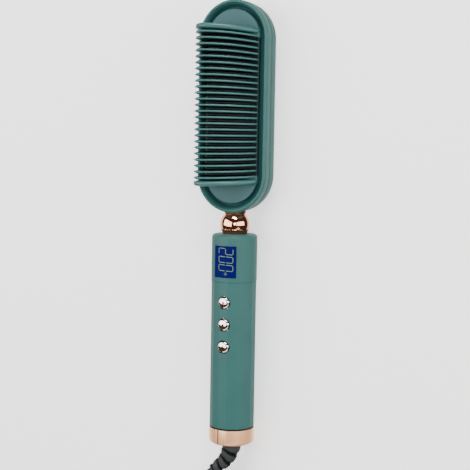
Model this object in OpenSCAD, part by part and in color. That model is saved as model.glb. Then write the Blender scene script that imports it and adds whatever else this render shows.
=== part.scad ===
// Heated hair straightener brush: oval comb head, ball neck, round fluted handle, swivel lead.
// It lies on its back: +Y runs along the handle to the head, +Z is up out of the comb side.
// Lengths are in mm, and z = 0 is the surface that it lies on.

/* [Head] */
// Length of the oval head
head_length = 140; // [130:1:150]
// Width of the oval head
head_width = 50.4; // [48:0.2:54]
// Height of the seam between the head's two shells over the handle's axis
seam_rise = 1; // [0:0.1:2]
// Height of the front rim's crest over the handle's axis
rim_rise = 8.3; // [8:0.1:9]
// Wall of the moulded shells
shell_wall = 2; // [1.6:0.1:2.4]

/* [Comb] */
// Number of thin comb blades
blade_count = 25; // [21:1:27]
// Distance from the head's end to the comb's end
comb_margin = 20.42; // [20:0.02:22]
// Thickness of a thin blade
blade_thickness = 1.3; // [1:0.1:1.5]
// Thickness of the two end blades
end_blade_thickness = 3.4; // [3:0.1:3.6]
// Height of the comb's crest over the front plate
comb_height = 19; // [16:0.5:20]
// Angle that the outermost blades lean outward
blade_fan = 6.7; // [0:0.1:7]
// Angle that all the blades lean toward the tip
blade_lean = 2; // [0:0.1:3]

/* [Handle] */
// Diameter of the handle
handle_diameter = 30.6; // [29:0.1:32]
// Length of the handle with its end ring
handle_length = 142.2; // [140:0.1:150]
// Length of the plain collar at the top
collar_length = 31.5; // [31:0.1:34]
// Number of flats round the grip
grip_flats = 16; // [12:1:20]
// Length of the metal end ring
ring_length = 11.4; // [10:0.1:14]
// Wall of the handle's tubes
handle_wall = 2.2; // [1.8:0.1:2.6]

/* [Display and buttons] */
// Length of the display window
window_length = 21.2; // [18:0.1:22]
// Angle that the window spans round the handle
window_angle = 62.7; // [50:0.1:66]
// Diameter of a button
button_diameter = 8; // [7:0.1:8.6]
// Distance between buttons
button_pitch = 14.87; // [13:0.01:16]
// How far a button stands out of the grip
button_proud = 1.1; // [0.9:0.1:1.5]
// How far a button presses in
button_travel = 0.8; // [0.5:0.1:1]

/* [Neck] */
// Diameter of the neck ball
ball_diameter = 19.5; // [19:0.1:19.8]

/* [Lead] */
// Diameter of the lead
cord_diameter = 5; // [4.6:0.1:5.2]
// Length of a put-away loop's straight runs
hank_run = 90; // [88:1:92]
// Diameter of the plug's pins
pin_diameter = 4; // [3.8:0.1:4.8]
// Distance between the plug's pins
pin_spacing = 19; // [18:0.1:19]

/* [Clearances] */
// Radial clearance of the lead's swivel
running_fit = 0.06; // [0.03:0.01:0.1]
// Gap round a button
button_gap = 0.35; // [0.25:0.05:0.5]
// Gap between parts that move past each other
moving_gap = 0.3; // [0.2:0.05:0.4]
// Gap between fixed mouldings
seam_gap = 0.05; // [0.02:0.01:0.1]

/* [Hidden] */
$fn = 48;
axis_z = handle_diameter / 2;
handle_r = handle_diameter / 2;
head_seam = axis_z + seam_rise;
rim_height = axis_z + rim_rise;
// The head's outline: two half circles joined by straight sides.
head_r = head_width / 2;
head_top = (head_length + handle_length + 14.25) / 2;
head_centre = head_top - head_length / 2;
head_low = head_centre - head_length / 2;
straight = head_length - head_width;
// Stations along the handle, from the neck down.
handle_top = head_low - 14.25;
collar_end = handle_top - collar_length;
handle_end = handle_top - handle_length;
ring_top = handle_end + ring_length;
grip_length = collar_end - ring_top;
bore_r = handle_r - handle_wall;
window_top = handle_top - 7.35;
window_end = window_top - window_length;
button_first = window_end - 16.55;
button_y = [for (i = [0:2]) button_first - i * button_pitch];
ball_y = handle_top + 6.3;
ball_r = ball_diameter / 2;
neck_tube_r = 4.5;
neck_bore_r = 3;
// The front plate under the comb, the window that its blades span, and the channel round it.
plate_top = rim_height - 1.4;
plate_thickness = 2;
channel_r = head_r - 3.4;
channel_floor = plate_top - 3.6;
plate_r = channel_r - 2.8;
plate_lip = 0.8;
window_half = plate_r - 1.2;
plate_low = plate_top - plate_thickness;
comb_length = head_length - 2 * comb_margin;
blade_pitch = (comb_length - 1.14) / (blade_count + 1);
end_blade_y = (comb_length - 1.5) / 2;
// The heater under the plate: its base, stones, clamp and cut-out.
heater_top = plate_low - moving_gap;
heater_thickness = 2.4;
heater_floor = heater_top - heater_thickness;
heater_half = window_half - 2 * moving_gap;
heater_reach = end_blade_y - end_blade_thickness / 2 - moving_gap;
fin_thickness = 1.1;
stone_count = 3;
stone_thickness = 3;
stone_width = head_width * 0.36;
stone_pitch = comb_length * 0.3;
stone_length = stone_pitch * 0.8;
clamp_length = stone_count * stone_pitch;
clamp_wall = 1.2;
clamp_width = stone_width + 2 * clamp_wall + 1.6;
fuse_r = 2;
screw_side = head_width / 6;
screw_reach = head_length * 0.37;
screw_shank_r = 1.1;
screw_head_r = 1.6;
// The handle's inner tray and board, stacked down from the buttons' flanges.
button_flange_r = 5.1;
button_flange = 1;
button_flange_top = axis_z + sqrt(pow(bore_r, 2) - pow(button_flange_r, 2)) - moving_gap;
switch_height = 2.2;
switch_plunger = 0.6;
switch_side = 6;
stem_drop = 1.2;
stem_low = button_flange_top - button_flange - stem_drop;
board_top = stem_low - button_travel - 2 * seam_gap - switch_plunger - switch_height;
board_thickness = 1.6;
board_half = sqrt(pow(bore_r, 2) - pow(board_top - axis_z, 2)) - 2 * seam_gap;
tray_r = bore_r - seam_gap;
tray_wall = 1.5;
// The swivel at the handle's end.
journal_r = 6.2;
hub_flange = 1.5;
hub_flange_r = 8.6;
hub_core_r = 3.4;
slip_ring_r = 4.6;
bush_in = handle_end + 8.2;
bush_out = handle_end + 2.2;
boot_r = 6.85;
boot_start = bush_out - moving_gap;
boot_end_r = 3.9;
boot_bend = 20;
boot_turn = 50;
boot_tail = 8;
boot_mouth = handle_end - 0.8;
boot_steps = 30;
boot_step = boot_bend * PI * boot_turn / 180 / boot_steps;
boot_tail_steps = round(boot_tail / boot_step);
boot_groove = 0.9;
boot_groove_first = 7;
boot_groove_every = 10;
boot_heading = [-sin(boot_turn), -cos(boot_turn), 0];
boot_arc_end = [-boot_bend * (1 - cos(boot_turn)), boot_mouth - boot_bend * sin(boot_turn), axis_z];
boot_tip = boot_arc_end + boot_tail * boot_heading;
cord_r = cord_diameter / 2;
// The hank: two layers of long loops, folded at both ends and drawn in at the waist.
hank_near = -203;
hank_layer_low = 3.6;
hank_step = 5.9;
hank_fold_min = 15;
hank_waist = 8;
hank_far = hank_near - hank_run;
hank_mid = (hank_near + hank_far) / 2;
loop_length = 2 * hank_run + 2 * PI * (hank_fold_min + 1.3 * hank_step);
run_share = hank_run / loop_length;
hank_turns = 5 + run_share;
rings_per_loop = 24;
hank_outer = hank_fold_min + hank_step * hank_turns / 2;
hank_start = [-hank_outer, hank_near + cord_diameter, hank_layer_low + hank_step];
hank_end = [-hank_outer, hank_far - cord_diameter, hank_layer_low];
straight_end = [0, cord_diameter, 0];
tie_wall = 0.8;
tie_width = 9;
tie_left = -25.4;
tie_right = 22.4;
tie_inner_top = 12.3;
// The plug, lying flat beyond the hank.
plug_rear = [-17, -337, 7];
plug_width = 26;
plug_thickness = 14;
plug_body_length = 24;
plug_pin_length = 19;
pin_shank = 8;
pin_shank_r = 1.6;
pin_step = 0.5;
// The lead's free routes: from the boot to the hank, and from the hank to the plug.
lead_in = [boot_tip + cord_diameter * boot_heading, [-24, -182, 13.2], hank_start + straight_end];
lead_out = [hank_end - straight_end, [-27, -314, 4.4], [-19.5, -324, 6.4], plug_rear + straight_end];
$fa = 6;

// ---- Helpers ----

// Stands a revolved shape on the handle's axis, pointing to the head.
module along_axis(y) {
    translate([0, y, axis_z])
        rotate([-90, 0, 0])
            children();
}

// A tube along the handle's axis, from y0 to y1.
module axis_tube(inner, outer, y0, y1) {
    along_axis(y0)
        difference() {
            cylinder(h = y1 - y0, r = outer);
            translate([0, 0, -1])
                cylinder(h = y1 - y0 + 2, r = inner);
        }
}

// A curved panel centred on the front of the handle.
module axis_panel(inner, outer, y0, y1, span) {
    along_axis(y0)
        rotate([0, 0, -90 - span / 2])
            rotate_extrude(angle = span)
                translate([inner, 0])
                    square([outer - inner, y1 - y0]);
}

// Turns a half section, x outward and y up, round the head's oval.
module oval_sweep(section) {
    for (end = [0, 1])
        translate([0, head_centre + (end ? -1 : 1) * straight / 2, 0])
            rotate([0, 0, end * 180])
                rotate_extrude(angle = 180)
                    polygon(section);
    for (side = [0, 180])
        translate([0, head_centre, 0])
            rotate([0, 0, side])
                translate([0, straight / 2, 0])
                    rotate([90, 0, 0])
                        linear_extrude(straight)
                            polygon(section);
}

// An oval slab on the head's centre.
module oval_slab(r, z0, z1) {
    translate([0, head_centre, z0])
        linear_extrude(z1 - z0)
            union() {
                square([2 * r, straight], center = true);
                for (end = [-1, 1])
                    translate([0, end * straight / 2])
                        circle(r);
            }
}

// Points of an arc from angle a0 to a1, for profiles.
function arc(cx, cy, r, a0, a1, n = 8) =
    [for (i = [0:n]) [cx + r * cos(a0 + (a1 - a0) * i / n), cy + r * sin(a0 + (a1 - a0) * i / n)]];

// ---- Head ----

dome_r = 11.3;
back_flat = head_r - dome_r - 0.4;
back_curve = arc(back_flat, dome_r, dome_r, -90, 0, 10);
back_inner = arc(back_flat, dome_r, dome_r - shell_wall, -90, 0, 10);
neck_hole_r = 7.35;
collar_depth = 3.05;
wire_hole_r = 2.4;

// The domed back shell, open at the seam, with the neck's hole in its end wall.
module head_back_shell() {
    color("#2b4a4d")
        difference() {
            oval_sweep(concat(
                [[0, 0]],
                back_curve,
                [[head_r, head_seam], [head_r - shell_wall, head_seam]],
                [for (i = [len(back_inner) - 1:-1:0]) back_inner[i]],
                [[0, shell_wall]]
            ));
            along_axis(head_low - 1)
                cylinder(h = 8, r = neck_hole_r);
            for (p = screw_places)
                translate([p[0], p[1], -1])
                    cylinder(h = shell_wall + 2, r = screw_head_r + 0.1);
        }
}

rim_round = 2.9;
rim_edge = 0.4;
ledge = 1.4;

// The front shell: outer wall, rounded rim and the channel round the plate.
module head_front_shell() {
    color("#2b4a4d")
        difference() {
            oval_sweep(concat(
                [[head_r - shell_wall, head_seam + seam_gap], [head_r, head_seam + seam_gap]],
                arc(head_r - rim_round, rim_height - rim_round, rim_round, 0, 90, 6),
                arc(channel_r + rim_edge, rim_height - rim_edge, rim_edge, 90, 180, 3),
                [
                    [channel_r - 0.3, channel_floor], [plate_r, channel_floor],
                    [plate_r - 0.1, plate_low - seam_gap], [plate_r - plate_lip, plate_low - seam_gap],
                    [plate_r - plate_lip, channel_floor - ledge], [head_r - shell_wall, channel_floor - ledge]
                ]
            ));
            along_axis(head_low - 1)
                cylinder(h = collar_depth + seam_gap + 1, r = neck_hole_r);
            along_axis(head_low)
                cylinder(h = 8, r = wire_hole_r);
        }
}

screw_places = [
    for (end = [-1, 1])
        for (side = [-1, 1])
            [side * screw_side, head_centre + end * screw_reach]
];

// Four screws that draw the plate down to the back shell.
module head_screws() {
    head_recess = 0.6;
    color("silver")
        for (p = screw_places)
            translate([p[0], p[1], head_recess])
                union() {
                    cylinder(h = 1.2, r = screw_head_r);
                    cylinder(h = heater_top - head_recess, r = screw_shank_r);
                }
}

// ---- Comb ----

comb_first = head_centre - (blade_count - 1) / 2 * blade_pitch;

// Lean of a blade that stands at y.
function lean_at(y) =
    blade_lean + blade_fan * (y - head_centre) / ((blade_count - 1) / 2 * blade_pitch);

// A blade's side outline over its foot: roots at both sides, arched over to a free nose at the left.
crest = comb_height + plate_thickness;
nose_r = 7.3;
back_r = 50;
back_x = -21.2;
back_end = 80;
back_rise = crest - nose_r - (back_r - nose_r) * sin(back_end);
// The centre of a nose round of radius r that runs on from an arc of radius arc_r at angle a.
function nose_centre(arc_r, r, a) = [back_x + (arc_r - r) * cos(a), back_rise + (arc_r - r) * sin(a)];
root_x = plate_r - 0.8;
nose_at = nose_centre(back_r, nose_r, back_end);
blade_outline = concat(
    [[-root_x, 0], [root_x, 0]],
    arc(back_x, back_rise, back_r, acos((root_x - 0.1 - back_x) / back_r), back_end, 10),
    arc(nose_at[0], nose_at[1], nose_r, back_end + 8, 205, 8),
    [[-19.4, crest - 12], [-18.7, crest - 16]]
);
leaf_outline = [
    [-9, 0.64], [-15, 0.64], [-18, 1.1], [-20, 1.15], [-22.4, 0.12],
    [-22.4, -0.12], [-20, -1.15], [-18, -1.1], [-15, -0.64], [-9, -0.64]
];

// A blade's plate, on its foot at the origin.
module blade_plate(thickness) {
    translate([0, thickness / 2, 0])
        rotate([90, 0, 0])
            linear_extrude(thickness)
                polygon(blade_outline);
}

// A thin blade: its plate, swelling to a pointed leaf at the nose.
module thin_blade() {
    intersection() {
        blade_plate(2.4);
        union() {
            linear_extrude(crest + 1)
                polygon(leaf_outline);
            translate([-10, -blade_thickness / 2, 0])
                cube([head_width / 2 + 10, blade_thickness, crest + 1]);
            translate([-24, -blade_thickness / 2, 0])
                cube([15, blade_thickness, crest - 14]);
        }
    }
}

// The oval front plate with its window, and the leaning blades that span it.
module comb_guard() {
    color("#35585a") {
        difference() {
            oval_slab(plate_r, plate_low, plate_top);
            translate([-window_half, head_centre - comb_length / 2, plate_low - 1])
                cube([2 * window_half, comb_length, plate_thickness + 3]);
        }
        for (i = [0:blade_count - 1])
            translate([0, comb_first + i * blade_pitch, plate_low])
                rotate([-lean_at(comb_first + i * blade_pitch), 0, 0])
                    thin_blade();
        for (end = [-1, 1])
            translate([0, head_centre + end * end_blade_y, plate_low])
                rotate([-lean_at(head_centre + end * comb_length / 2), 0, 0])
                    blade_plate(end_blade_thickness);
    }
}

// A fin follows the blades' arch from below, and stops short of their noses.
fin_r = back_r - 5;
fin_end = 72;
fin_nose_r = 6;
fin_root = 0.8;
fin_half = heater_half - moving_gap;
fin_nose = nose_centre(fin_r, fin_nose_r, fin_end);
fin_outline = concat(
    [[-fin_half, -fin_root], [fin_half, -fin_root], [fin_half, fin_root]],
    arc(back_x, back_rise, fin_r, asin((2 * fin_root - back_rise) / fin_r), fin_end, 8),
    arc(fin_nose[0], fin_nose[1], fin_nose_r, fin_end + 12, 190, 6)
);

// The aluminium heating plate with a fin in every gap between the blades.
module heater_comb() {
    color("#1c1d1f") {
        translate([-heater_half, head_centre - heater_reach, heater_floor])
            cube([2 * heater_half, 2 * heater_reach, heater_thickness]);
        for (i = [0:blade_count - 2])
            translate([0, comb_first + (i + 0.5) * blade_pitch, heater_top])
                rotate([-lean_at(comb_first + (i + 0.5) * blade_pitch), 0, 0])
                    translate([0, fin_thickness / 2, 0])
                        rotate([90, 0, 0])
                            linear_extrude(fin_thickness)
                                polygon(fin_outline);
    }
}

// Three ceramic heating stones under the plate.
module ptc_heaters() {
    color("#8c5a3a")
        for (i = [0:stone_count - 1])
            translate([
                -stone_width / 2,
                head_centre + (i - (stone_count - 1) / 2) * stone_pitch - stone_length / 2,
                heater_floor - seam_gap - stone_thickness
            ])
                cube([stone_width, stone_length, stone_thickness]);
}

clamp_floor = heater_floor - stone_thickness - clamp_wall - 2 * seam_gap;

// The sprung clamp that presses the stones to the plate.
module heater_clamp() {
    color("#9aa0a3")
        difference() {
            translate([-clamp_width / 2, head_centre - clamp_length / 2, clamp_floor])
                cube([clamp_width, clamp_length, heater_floor - clamp_floor - seam_gap]);
            translate([-clamp_width / 2 + clamp_wall, head_centre - clamp_length / 2 - 1, clamp_floor + clamp_wall])
                cube([clamp_width - 2 * clamp_wall, clamp_length + 2, heater_thickness + stone_thickness]);
            for (i = [0:stone_count - 1])
                translate([
                    0,
                    head_centre + (i - (stone_count - 1) / 2) * stone_pitch,
                    clamp_floor - 1
                ])
                    cylinder(h = clamp_wall + 2, r = stone_width / 4);
        }
}

// The thermal cut-out on the underside of the clamp, between two of its holes.
module thermal_fuse() {
    fuse_length = stone_pitch - stone_width / 2 - 2;
    color("#d8d4c8")
        translate([0, head_centre + stone_pitch / 2 + fuse_length / 2, clamp_floor - fuse_r - seam_gap])
            rotate([90, 0, 0])
                cylinder(h = fuse_length, r = fuse_r);
}

// ---- Neck ----

flare_neck_r = ball_r - 1.65;
seat_r = ball_r + seam_gap;
seat_angle = acos((neck_tube_r + seam_gap) / seat_r);

// The upper neck collar: a short sleeve from the head's end wall that seats on the ball.
module neck_collar() {
    sleeve_r = neck_hole_r - seam_gap;
    wall_y = head_low - ball_y;
    color("#d7a58a")
        along_axis(ball_y)
            rotate_extrude()
                polygon(concat(
                    arc(0, 0, seat_r, seat_angle, acos((sleeve_r - 0.15) / seat_r), 6),
                    [
                        [sleeve_r, wall_y - 0.9], [sleeve_r, wall_y + collar_depth],
                        [neck_tube_r + seam_gap, wall_y + collar_depth]
                    ]
                ));
}

// The mirror ball that joins the head to the handle.
module neck_ball() {
    ball_angle = acos((neck_tube_r + seam_gap) / ball_r);
    color("#d7a58a")
        along_axis(ball_y)
            rotate_extrude()
                polygon(arc(0, 0, ball_r, -ball_angle, ball_angle, 20));
}

// The flared collar that seats the ball in the handle's top.
module neck_flare() {
    base = handle_top - 3;
    rise = ball_y - base;
    lip_angle = 19.4;
    lip = rise - seat_r * sin(lip_angle);
    color("#d7a58a")
        along_axis(base)
            rotate_extrude()
                polygon(concat(
                    [
                        [neck_tube_r + seam_gap, 0], [flare_neck_r + 1.2, 0], [flare_neck_r + 1.2, 0.45],
                        [flare_neck_r, 0.5], [flare_neck_r, 3.05], [flare_neck_r + 0.35, 3.6],
                        [flare_neck_r + 0.9, 4.5], [flare_neck_r + 1.3, 5.4], [flare_neck_r + 1.45, lip]
                    ],
                    arc(0, rise, seat_r, -lip_angle, -seat_angle, 8)
                ));
}

// The steel tube through the neck, with a flange under the flared collar.
module neck_tube() {
    tube_low = handle_top - 6;
    flange = 1.5;
    flange_low = 1.4;
    color("silver")
        along_axis(tube_low)
            rotate_extrude()
                polygon([
                    [neck_bore_r, 0], [neck_tube_r, 0], [neck_tube_r, flange_low], [flare_neck_r, flange_low],
                    [flare_neck_r, flange_low + flange], [neck_tube_r, flange_low + flange],
                    [neck_tube_r, head_low + collar_depth - tube_low],
                    [neck_bore_r, head_low + collar_depth - tube_low]
                ]);
}

// The two heater wires through the neck, up to the heater.
module heater_leads() {
    lead_low = (window_top + window_end) / 2;
    color("#b33a2e")
        for (side = [-1, 1])
            along_axis(lead_low)
                translate([side * 1.3, 0, 0])
                    cylinder(h = head_centre - clamp_length / 2 - 0.5 - lead_low, r = 1);
}

// ---- Handle ----

// The plain collar, closed at the top, with the display's window.
module handle_collar() {
    color("#2f5356")
        difference() {
            along_axis(collar_end)
                rotate_extrude()
                    polygon(concat(
                        [[bore_r, 0], [handle_r, 0]],
                        arc(handle_r - 2.5, collar_length - 2.5, 2.5, 0, 90, 6),
                        [
                            [flare_neck_r + seam_gap, collar_length],
                            [flare_neck_r + seam_gap, collar_length - 2.45], [bore_r, collar_length - 2.45]
                        ]
                    ));
            axis_panel(bore_r - 1, handle_r + 1, window_end, window_top, window_angle);
        }
}

// The lens that fills the window.
module display_lens() {
    color("#1b2a86")
        axis_panel(
            bore_r + 0.4, handle_r - 0.1,
            window_end + seam_gap, window_top - seam_gap, window_angle - 0.4
        );
}

display_half = bore_r / 2;
display_top = axis_z + sqrt(pow(bore_r, 2) - pow(display_half, 2)) - seam_gap;

// The display's body, from the board up to the lens.
module display_module() {
    color("#15171c")
        translate([-display_half, window_end + 0.6, board_top + seam_gap])
            cube([2 * display_half, window_length - 2.4, display_top - board_top - seam_gap]);
}

// A regular grip section with flats, one facing front.
function flats(r) =
    [for (i = [0:grip_flats - 1]) r * [cos((i + 0.5) * 360 / grip_flats), sin((i + 0.5) * 360 / grip_flats)]];

// The grip tube with its flats and the buttons' holes.
module handle_sleeve() {
    color("#2f5356")
        difference() {
            along_axis(ring_top + seam_gap)
                linear_extrude(grip_length - 2 * seam_gap)
                    polygon(flats(handle_r - 0.1));
            along_axis(ring_top - 1)
                cylinder(h = grip_length + 2, r = bore_r);
            for (y = button_y)
                translate([0, y, axis_z])
                    cylinder(h = handle_r + 2, r = button_diameter / 2 + button_gap);
        }
}

slip_start = bush_in + moving_gap + hub_flange;
tray_low = slip_start + 1;
tray_high = handle_top - 9.5;

// The tray that carries the board along the handle.
module inner_tray() {
    color("#3a3d40")
        difference() {
            along_axis(tray_low)
                cylinder(h = tray_high - tray_low, r = tray_r);
            along_axis(tray_low - 1)
                cylinder(h = tray_high - tray_low + 2, r = tray_r - tray_wall);
            translate([-handle_r, tray_low - 1, board_top - board_thickness - seam_gap])
                cube([handle_diameter, tray_high - tray_low + 2, handle_diameter]);
        }
}

// The control board, lying on the tray's edges.
module control_board() {
    color("#20603a")
        translate([-board_half, button_y[2] - button_pitch * 0.6, board_top - board_thickness])
            cube([2 * board_half, tray_high - 0.4 - button_y[2] + button_pitch * 0.6, board_thickness]);
}

// A small switch under each button.
module tact_switches() {
    color("#25282c")
        for (y = button_y)
            translate([0, y, board_top + seam_gap])
                union() {
                    translate([-switch_side / 2, -switch_side / 2, 0])
                        cube([switch_side, switch_side, switch_height]);
                    cylinder(h = switch_height + switch_plunger, r = 1.6);
                }
}

// A domed button with a flange under the grip's wall and a stem to its switch.
module push_button(y) {
    dome = 1.5;
    crown = axis_z + handle_r - 0.4 + button_proud;
    translate([0, y, 0])
        rotate_extrude()
            polygon(concat(
                [[0, stem_low], [1.8, stem_low], [1.8, button_flange_top - button_flange]],
                [[button_flange_r, button_flange_top - button_flange], [button_flange_r, button_flange_top]],
                [[button_diameter / 2, button_flange_top]],
                [
                    for (a = [0:10:90])
                        [button_diameter / 2 * pow(cos(a), 0.75), crown - dome + dome * sin(a)]
                ]
            ));
}

module power_button() {
    color("#d9dadb")
        push_button(button_y[0]);
}

module plus_button() {
    color("#d9dadb")
        push_button(button_y[1]);
}

module minus_button() {
    color("#d9dadb")
        push_button(button_y[2]);
}

// The metal ring that ends the handle, drawn in at its lower edge.
module end_ring() {
    color("#d7a58a")
        along_axis(handle_end)
            rotate_extrude()
                polygon(concat(
                    [[bore_r - 1.2, 0], [handle_r - 2.6, 0]],
                    arc(handle_r - 2.6, 2.5, 2.5, -90, 0, 6),
                    [[handle_r - 0.1, ring_length], [bore_r, ring_length], [bore_r, 2], [bore_r - 1.2, 2]]
                ));
}

// ---- Swivel and lead ----

// The bushing that holds the swivel in the ring.
module end_bushing() {
    color("#303235")
        along_axis(bush_out)
            difference() {
                cylinder(h = bush_in - bush_out, r = bore_r - seam_gap);
                translate([0, 0, -1])
                    cylinder(h = bush_in - bush_out + 2, r = journal_r + running_fit);
            }
}

// The swivel: journal, inner flange and the core that carries the slip rings.
module swivel_hub() {
    color("#26282b")
        along_axis(boot_start)
            union() {
                cylinder(h = bush_in - boot_start + moving_gap, r = journal_r);
                translate([0, 0, bush_in - boot_start + moving_gap])
                    cylinder(h = hub_flange, r = hub_flange_r);
                translate([0, 0, bush_in - boot_start + moving_gap + hub_flange])
                    cylinder(h = 12, r = hub_core_r);
            }
}

// Two contact rings on the swivel's core.
module slip_rings() {
    color("#c9a24a")
        for (i = [0, 1])
            axis_tube(hub_core_r + seam_gap, slip_ring_r, slip_start + 1.5 + i * 5, slip_start + 4.5 + i * 5);
}

// The fixed contacts that rub on the rings, standing on the tray.
module contact_springs() {
    half = 3;
    rub_gap = 0.06;
    foot = axis_z - sqrt(pow(tray_r - tray_wall, 2) - pow(half, 2)) + seam_gap;
    color("#c9a24a")
        difference() {
            for (i = [0, 1])
                translate([-half, slip_start + 1.9 + i * 5, foot])
                    cube([2 * half, 2.2, axis_z - slip_ring_r - foot]);
            along_axis(slip_start)
                cylinder(h = 12, r = slip_ring_r + rub_gap);
        }
}

// Sweeps rings of the given radii round a centre line as one closed tube.
function unit(v) = v / norm(v);
function tangent(p, i) =
    unit(i == 0 ? p[1] - p[0] : i == len(p) - 1 ? p[i] - p[i - 1] : unit(p[i + 1] - p[i]) + unit(p[i] - p[i - 1]));

module tube(p, radii, sides) {
    rings = [
        for (i = [0:len(p) - 1])
            let (t = tangent(p, i), n = unit(cross(t, [0, 0, 1])), b = cross(n, t))
                for (k = [0:sides - 1])
                    p[i] + radii[i] * (cos(k * 360 / sides) * n + sin(k * 360 / sides) * b)
    ];
    walls = [
        for (i = [0:len(p) - 2])
            for (k = [0:sides - 1])
                let (a = i * sides + k, c = i * sides + (k + 1) % sides)
                    for (f = [[a, c, c + sides], [a, c + sides, a + sides]])
                        f
    ];
    caps = [
        for (k = [1:sides - 2])
            for (f = [
                [0, k + 1, k],
                [(len(p) - 1) * sides, (len(p) - 1) * sides + k, (len(p) - 1) * sides + k + 1]
            ])
                f
    ];
    polyhedron(rings, concat(walls, caps));
}

// A smooth curve through a route's points, with its ends kept straight.
function spline(p, i, t) =
    let (a = p[max(i - 1, 0)], b = p[i], c = p[i + 1], d = p[min(i + 2, len(p) - 1)])
        0.5 * (2 * b + (c - a) * t + (2 * a - 5 * b + 4 * c - d) * t * t + (3 * b - a - 3 * c + d) * t * t * t);
function smooth_route(p, steps) = concat(
    [for (i = [0:len(p) - 2]) for (k = [0:steps - 1]) spline(p, i, k / steps)],
    [p[len(p) - 1]]
);

// The boot's centre line: straight in the ring's mouth, one bend to the left, then straight.
boot_line = concat(
    [[0, boot_start, axis_z]],
    [
        for (i = [0:boot_steps])
            let (a = boot_turn * i / boot_steps)
                [-boot_bend * (1 - cos(a)), boot_mouth - boot_bend * sin(a), axis_z]
    ],
    [for (i = [1:boot_tail_steps]) boot_arc_end + boot_tail * i / boot_tail_steps * boot_heading]
);
boot_radii = [
    for (i = [0:len(boot_line) - 1])
        let (taper = boot_r + (boot_end_r - boot_r) * i / (len(boot_line) - 1))
            i % boot_groove_every == boot_groove_first ? taper - boot_groove : taper
];

// The grooved strain relief, tapering along its bend.
module strain_relief() {
    color("#55575a")
        tube(boot_line, boot_radii, 20);
}

// A point of the hank's centre line after t loops.
function fold_r(t) = hank_fold_min + hank_step * abs(t - hank_turns / 2);
function drop(t) =
    let (s = (t - 2.5) / run_share)
        s <= 0 ? 0 : s >= 1 ? 1 : 0.5 - 0.5 * cos(180 * s);
function waist(s) = hank_waist * pow(sin(180 * s), 2);
function hank_point(t) =
    let (
        f = t - floor(t + 0.000001),
        r = fold_r(t),
        z = hank_layer_low + hank_step * (1 - drop(t)),
        fold = 0.5 - run_share,
        s = f / run_share,
        s2 = (f - 0.5) / run_share,
        a = 180 * (f - run_share) / fold,
        a2 = 180 * (f - 0.5 - run_share) / fold
    )
        f <= run_share ? [-r + waist(s), hank_near - s * hank_run, z]
        : f < 0.5 ? [-r * cos(a), hank_far - r * sin(a), z]
        : f <= 0.5 + run_share ? [r - waist(s2), hank_far + s2 * hank_run, z]
        : [r * cos(a2), hank_near + r * sin(a2), z];

hank_rings = round(rings_per_loop * hank_turns);
hank_line = concat(
    [hank_start],
    [for (i = [0:hank_rings]) hank_point(i * hank_turns / hank_rings)],
    [hank_end]
);

// The least gap between two passes of the hank, found on its centre line's points.
function segment_gap(p, a, b) =
    let (u = b - a, s = max(0, min(1, ((p - a) * u) / (u * u))))
        norm(p - a - s * u);
hank_gap = min([
    for (i = [0:len(hank_line) - 1])
        for (j = [i + 8:1:len(hank_line) - 2])
            segment_gap(hank_line[i], hank_line[j], hank_line[j + 1])
]) - cord_diameter;
echo(hank_gap = hank_gap);

function line_length(p) = len(p) < 2 ? 0 : sum_steps(p, 0);
function sum_steps(p, i) = i >= len(p) - 1 ? 0 : norm(p[i + 1] - p[i]) + sum_steps(p, i + 1);

lead_in_line = concat([boot_tip], smooth_route(lead_in, 4), [hank_start]);
lead_out_line = concat([hank_end], smooth_route(lead_out, 3), [plug_rear]);
echo(cord_length = line_length(lead_in_line) + line_length(hank_line) + line_length(lead_out_line));

// The lead from the boot to the hank.
module cord() {
    color("#161616")
        tube(lead_in_line, [for (p = lead_in_line) cord_r], 8);
}

// The lead's put-away length.
module cord_hank() {
    color("#161616")
        tube(hank_line, [for (p = hank_line) cord_r], 6);
}

// The lead from the hank to the plug.
module cord_tail() {
    color("#161616")
        tube(lead_out_line, [for (p = lead_out_line) cord_r], 8);
}

// A rectangle with round corners, as points.
function round_box(x0, z0, x1, z1, r) = concat(
    arc(x1 - r, z1 - r, r, 0, 90, 6),
    arc(x0 + r, z1 - r, r, 90, 180, 6),
    arc(x0 + r, z0 + r, r, 180, 270, 6),
    arc(x1 - r, z0 + r, r, 270, 360, 6)
);

// The strap round the hank's waist.
module cord_tie() {
    color("#161616")
        translate([0, hank_mid + tie_width / 2, 0])
            rotate([90, 0, 0])
                linear_extrude(tie_width)
                    difference() {
                        polygon(round_box(
                            tie_left - tie_wall, 0, tie_right + tie_wall, tie_inner_top + tie_wall, 3
                        ));
                        polygon(round_box(tie_left, tie_wall, tie_right, tie_inner_top, 2.2));
                    }
}

// The flat plug body, narrowing to the lead.
module plug_body() {
    color("#161616")
        difference() {
            translate([plug_rear[0], plug_rear[1], 0])
                intersection() {
                    linear_extrude(plug_thickness)
                        polygon([
                            [-4.2, 0], [4.2, 0], [5.2, -7], [9, -10.5], [plug_width / 2, -13],
                            [plug_width / 2, -22], [11.5, -plug_body_length], [-11.5, -plug_body_length],
                            [-plug_width / 2, -22], [-plug_width / 2, -13], [-9, -10.5], [-5.2, -7]
                        ]);
                    translate([0, 1, 0])
                        rotate([90, 0, 0])
                            linear_extrude(plug_body_length + 2)
                                polygon(round_box(
                                    -plug_width / 2, 0, plug_width / 2, plug_thickness, 3
                                ));
                }
            for (side = [-1, 1])
                translate([
                    plug_rear[0] + side * pin_spacing / 2,
                    plug_rear[1] - plug_body_length - 1,
                    plug_rear[2]
                ])
                    rotate([-90, 0, 0])
                        cylinder(h = pin_shank + 1.1, r = pin_shank_r + seam_gap);
        }
}

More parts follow.
